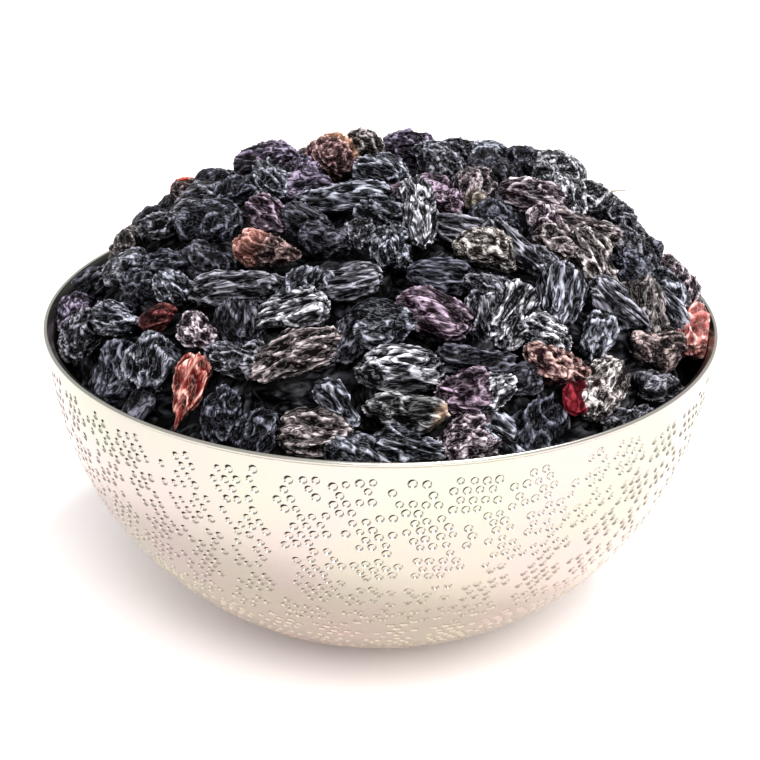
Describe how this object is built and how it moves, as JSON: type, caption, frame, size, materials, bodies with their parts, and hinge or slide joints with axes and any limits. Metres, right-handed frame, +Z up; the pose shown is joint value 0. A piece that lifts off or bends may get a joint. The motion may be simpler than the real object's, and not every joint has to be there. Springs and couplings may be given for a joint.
{
  "type": "bowl of black raisins",
  "caption": "Round punched-metal bowl on a small flat foot, heaped with wrinkled black raisins, a few of them red, pink or amber.",
  "frame": {"origin": "middle of the underside of the bowl's flat foot", "axes": "+Z up along the bowl's axis, -Y towards the side the bowl is seen from"},
  "size_m": [0.1276, 0.1276, 0.0887],
  "materials": {
    "punched_metal": "warm pale satin with punched dimples",
    "black_raisin": "wrinkled, semi-matte with a grey bloom",
    "scarlet_raisin": "wrinkled, semi-matte",
    "rust_raisin": "wrinkled, semi-matte",
    "rose_raisin": "wrinkled, semi-matte",
    "wine_raisin": "wrinkled, semi-matte",
    "amber_raisin": "wrinkled, semi-matte",
    "pink_raisin": "wrinkled, semi-matte",
    "crimson_raisin": "wrinkled, semi-matte"
  },
  "bodies": {
    "root": {"bowl": "punched_metal", "raisins_black": "black_raisin", "raisin_scarlet": "scarlet_raisin", "raisin_rust": "rust_raisin", "raisin_red_topped": "rose_raisin", "raisin_red_tipped": "wine_raisin", "raisin_amber_topped": "amber_raisin", "raisin_pink": "pink_raisin", "raisin_grey_pink": "rose_raisin", "raisin_brown_red": "wine_raisin", "raisin_crimson": "crimson_raisin"}
  },
  "joints": []
}
